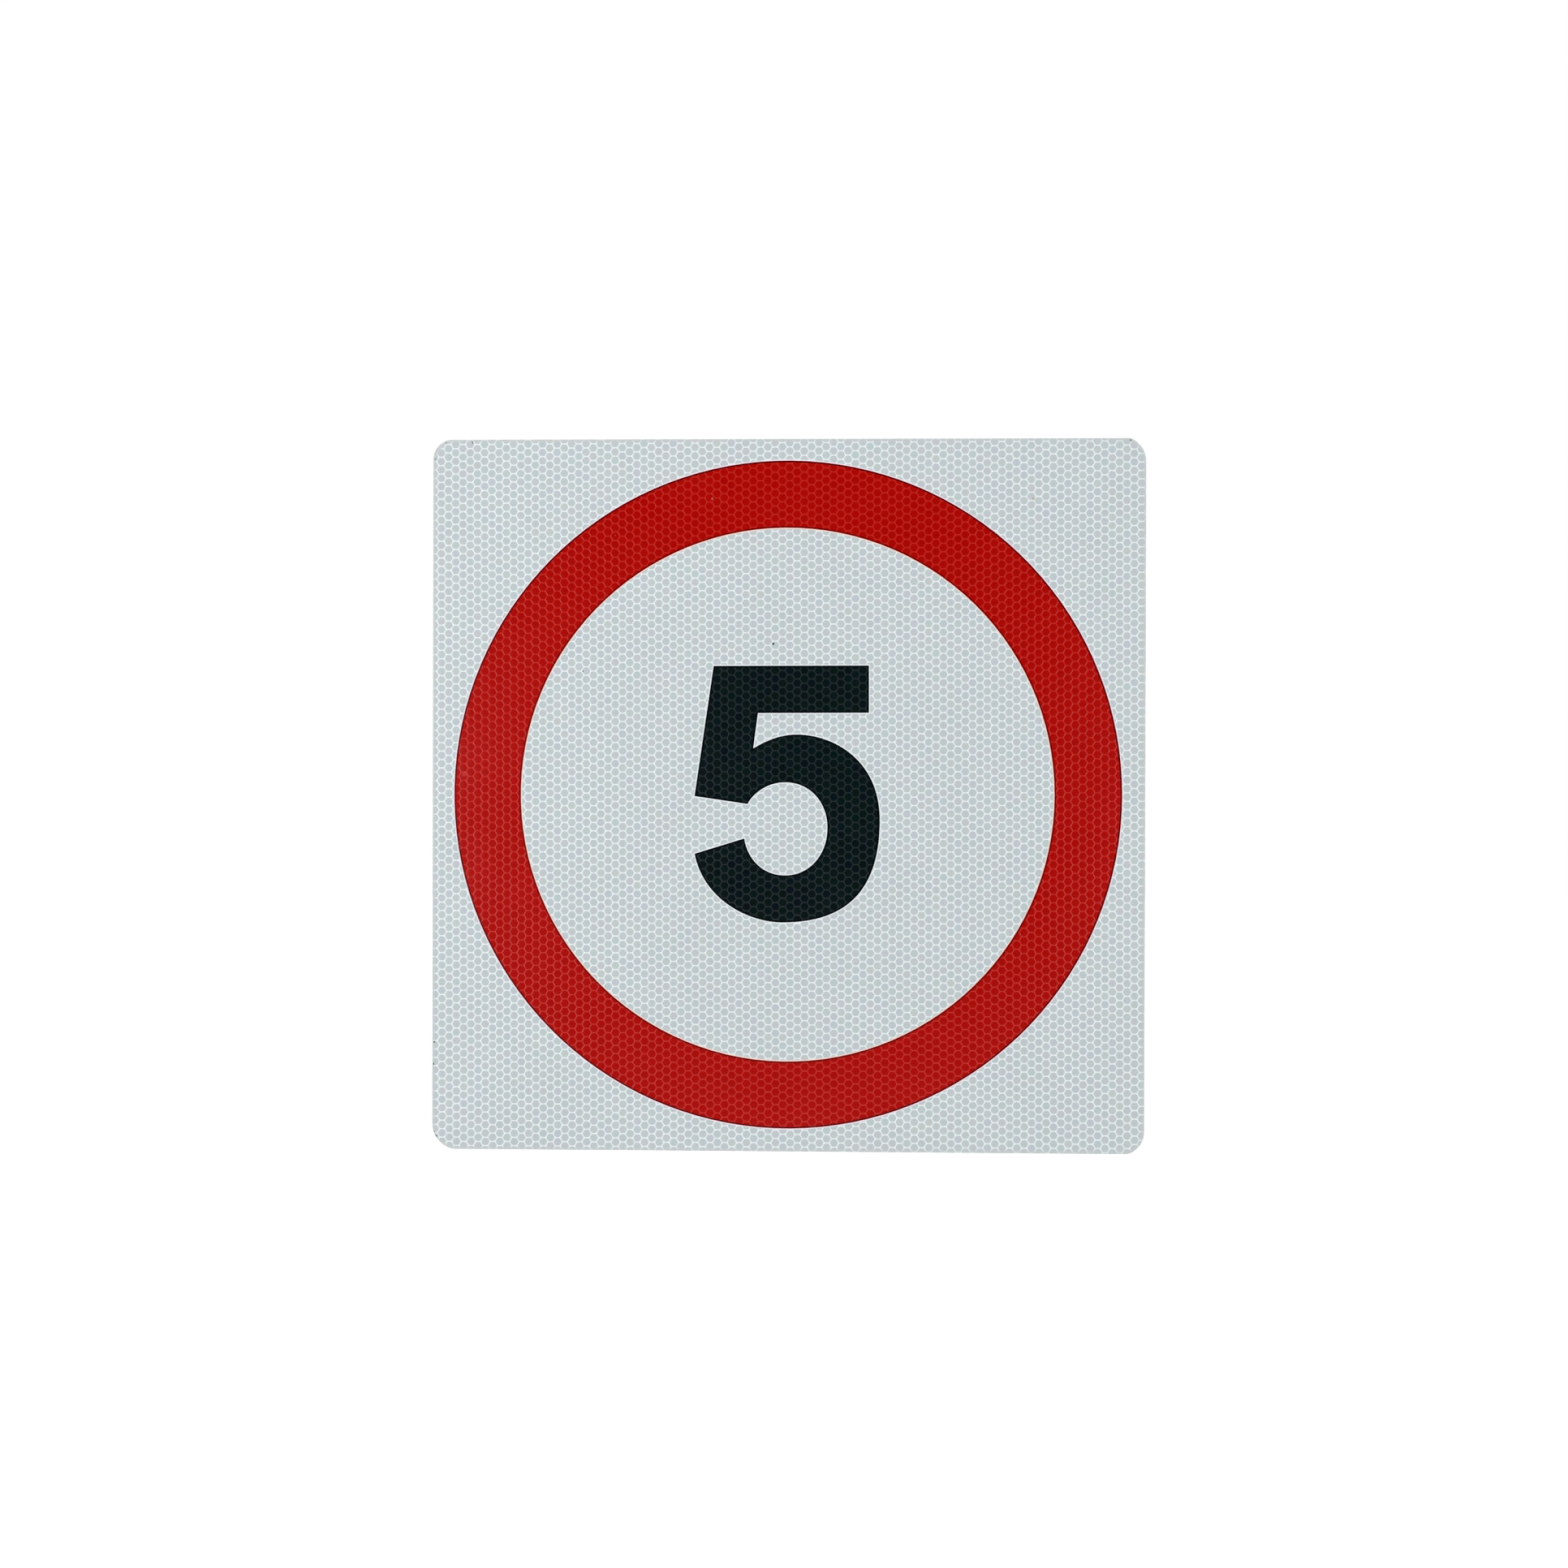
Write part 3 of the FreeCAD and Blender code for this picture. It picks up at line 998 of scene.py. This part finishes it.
class SIGN_OT_numeral(bpy.types.Operator):
    """Lay the black figure 5 on the sheeting, with its dark edge and the pale line round it."""

    bl_idname = "sign.numeral"
    bl_label = "Figure 5"

    def execute(self, context):
        film = context.scene.sign_film
        material = colour_finish(
            BLACK_SLOT, film.black_cell, film.black_seal, tints=(0.3, 0.2, 0.2), seed=7.0)
        lines = ((film.black_edge,) * 2, (film.black_edge,) * 2, (film.black_lip,) * 2)
        lay_colour(NUMERAL, "black_honeycomb_numeral", material, BLACK_SLOT, lines)
        return {"FINISHED"}


class SIGN_OT_marks(bpy.types.Operator):
    """Add the specks of dirt, the pricks and the chips that the sign has got in use."""

    bl_idname = "sign.marks"
    bl_label = "Specks and Chips"

    def execute(self, context):
        film = context.scene.sign_film
        skin = context.scene.sign_cells.skin
        bare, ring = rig.box(SHEETING)[0].y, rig.box(RING)[0].y
        # The last number is how far the flecks' front lies behind the face of their film, in skins
        kinds = (
            ("dirt_specks", DIRT, "dirt", film.dirt, WHITE_SLOT, bare, -2),
            ("sheeting_pricks", PRICKS, "prick", film.prick, WHITE_SLOT, bare, -1),
            ("ring_chips", CHIPS, "chip", film.chip, RED_SLOT, ring, 0.6),
            ("ring_pits", PITS, "pit", film.pit, RED_SLOT, ring, 0.1),
        )
        for name, marks, kind, shade, slot, face, depth in kinds:
            material = line_finish(kind, shade, shade)
            flecks(name, marks, face + FLECK_BURIED * skin, face + depth * skin, material, slot)
        return {"FINISHED"}


def light_room(stage):
    """Even light from all round, white behind the sign, and dim where its face mirrors the room in front.

    That dim part glows softly towards the left, the right and the foot. Past each glow comes a narrow
    bright wall, which the slanted sides of the seal lines mirror.
    """
    world = bpy.data.worlds.new("studio")
    world.use_nodes = True
    nodes = Nodes(world.node_tree)
    way = nodes.add("SeparateXYZ", inputs={0: nodes.value("TexCoord", output="Generated")})
    right, back, up = (Value(nodes, output) for output in way.outputs)
    sides = (
        (0 - right, LEFT_GLOW_REACH, stage.left_glow, stage.left_wall),
        (right, RIGHT_GLOW_REACH, stage.right_glow, stage.right_wall),
        (0 - up, FOOT_GLOW_REACH, stage.foot_glow, stage.foot_wall),
    )
    ahead = nodes.ramp(back, *WALL_AHEAD)
    at_left, at_right, at_foot = (
        nodes.ramp(outward, *reach) * glow + nodes.ramp(outward, *WALL_REACH) * ahead * wall
        for outward, reach, glow, wall in sides)
    beside = nodes.math("MAXIMUM", at_left, at_right) * nodes.ramp(up, *BELOW_TOP)
    dim = stage.front + nodes.math("MAXIMUM", beside, at_foot)
    room_in_front = dim + (1 - dim) * nodes.ramp(back, *ROOM_BESIDE)
    strength = stage.room + (room_in_front - stage.room) * nodes.rays("Glossy", "Transmission")
    strength = strength + (1 - strength) * nodes.rays("Camera")
    background = nodes.value("Background", inputs={"Color": paint(WHITE), "Strength": strength})
    nodes.add("OutputWorld", inputs={"Surface": background})
    bpy.context.scene.world = world


def floor_finish():
    """Pale floor that shows as white as the background, apart from the sign's shadow."""
    material = bpy.data.materials.new("pale_floor")
    material.use_nodes = True
    nodes = Nodes(material.node_tree)
    shader = nodes.value("BsdfPrincipled", inputs={
        "Base Color": paint(FLOOR_COLOUR),
        "Roughness": 0.9,
        "Specular IOR Level": 0.0,
        "Emission Color": paint(WHITE),
        "Emission Strength": nodes.rays("Camera", "Glossy", "Transmission") * FLOOR_GLOW,
    })
    nodes.add("OutputMaterial", inputs={"Surface": shader})
    return material


def facing(place, aim):
    """Turn of a lamp or camera that stands at one place and looks at another."""
    return (Vector(aim) - Vector(place)).to_track_quat("-Z", "Y")


def add_lamp(name, place, aim, size, power):
    """Square soft lamp that looks at the sign, and that the glossy film doesn't mirror."""
    deselect()
    bpy.ops.object.light_add(type="AREA", location=place)
    lamp = bpy.context.active_object
    lamp.name = name
    lamp.data.shape = "SQUARE"
    lamp.data.size = size
    lamp.data.energy = power
    lamp.visible_glossy = False
    lamp.rotation_euler = facing(place, aim).to_euler()


def add_camera(stage):
    """Camera at the photograph's viewing angle."""
    camera = bpy.data.objects.new("camera", bpy.data.cameras.new("camera"))
    bpy.context.scene.collection.objects.link(camera)
    camera.location = stage.stand
    roll = Euler((0, 0, stage.roll)).to_quaternion()
    camera.rotation_euler = (facing(stage.stand, stage.aim) @ roll).to_euler()
    camera.data.lens = stage.lens
    camera.data.sensor_width = 36.0
    camera.data.clip_start = 0.01
    bpy.context.scene.camera = camera


class SIGN_OT_stage(bpy.types.Operator):
    """Set the camera, the lamps, the room light and the pale floor."""

    bl_idname = "sign.stage"
    bl_label = "Stage"

    def execute(self, context):
        stage = context.scene.sign_stage
        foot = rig.box(PLATE)[0].z
        deselect()
        bpy.ops.mesh.primitive_plane_add(
            size=FLOOR_SIZE, location=(0, FLOOR_BEHIND, foot - stage.floor_drop))
        floor = context.active_object
        settle(floor)
        floor.name = "floor"
        floor.data.materials.append(floor_finish())
        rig.stage(floor)
        light_room(stage)
        add_lamp("key_lamp", place=(-0.95, -1.15, 0.55), aim=stage.aim, size=1.1, power=stage.key_power)
        add_lamp("fill_lamp", place=(1.15, -1.05, -0.1), aim=stage.aim, size=1.3, power=stage.fill_power)
        add_camera(stage)
        context.scene.view_settings.view_transform = "Standard"
        return {"FINISHED"}


class SIGN_PT_panel(bpy.types.Panel):
    """The settings of the sign, part by part, and the operators that make each part."""

    bl_idname = "SIGN_PT_panel"
    bl_label = "Speed Limit Sign"
    bl_space_type = "VIEW_3D"
    bl_region_type = "UI"
    bl_category = "Sign"

    def draw(self, context):
        for title, name, group, operators in SECTIONS:
            box = self.layout.box()
            box.label(text=title)
            settings = getattr(context.scene, name)
            for setting in group.__annotations__:
                box.prop(settings, setting)
            for operator in operators:
                box.operator(operator.bl_idname)


# Each section of the panel: its title, where its settings are kept, their group, and its operators
SECTIONS = (
    ("Metal", "sign_plate", PlateSettings, (SIGN_OT_plate,)),
    ("Honeycomb", "sign_cells", HoneycombSettings, (SIGN_OT_sheeting,)),
    ("Colours", "sign_film", FilmSettings, (SIGN_OT_ring, SIGN_OT_numeral, SIGN_OT_marks)),
    ("Stage", "sign_stage", StageSettings, (SIGN_OT_stage,)),
)
SETTINGS = {name: group for title, name, group, operators in SECTIONS}
OPERATORS = [operator for title, name, group, operators in SECTIONS for operator in operators]
CLASSES = (*SETTINGS.values(), *OPERATORS, SIGN_PT_panel)


def register():
    """Register the classes and give each scene its settings."""
    for each in CLASSES:
        bpy.utils.register_class(each)
    for name, group in SETTINGS.items():
        setattr(bpy.types.Scene, name, PointerProperty(type=group))


def unregister():
    """Take the settings and the classes away again."""
    for name in SETTINGS:
        delattr(bpy.types.Scene, name)
    for each in reversed(CLASSES):
        bpy.utils.unregister_class(each)


def main():
    """Make the whole sign, and write how large the CAD model and the visual model are."""
    register()
    bpy.ops.sign.stage()
    bpy.ops.sign.plate()
    bpy.ops.sign.sheeting()
    bpy.ops.sign.ring()
    bpy.ops.sign.numeral()
    bpy.ops.sign.marks()
    boxes = {"cad": cad_bounds, "visual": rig.bounds()}
    with open("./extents.json", "w") as file:
        json.dump({name: [list(corner) for corner in box] for name, box in boxes.items()}, file)


if __name__ == "__main__":
    main()
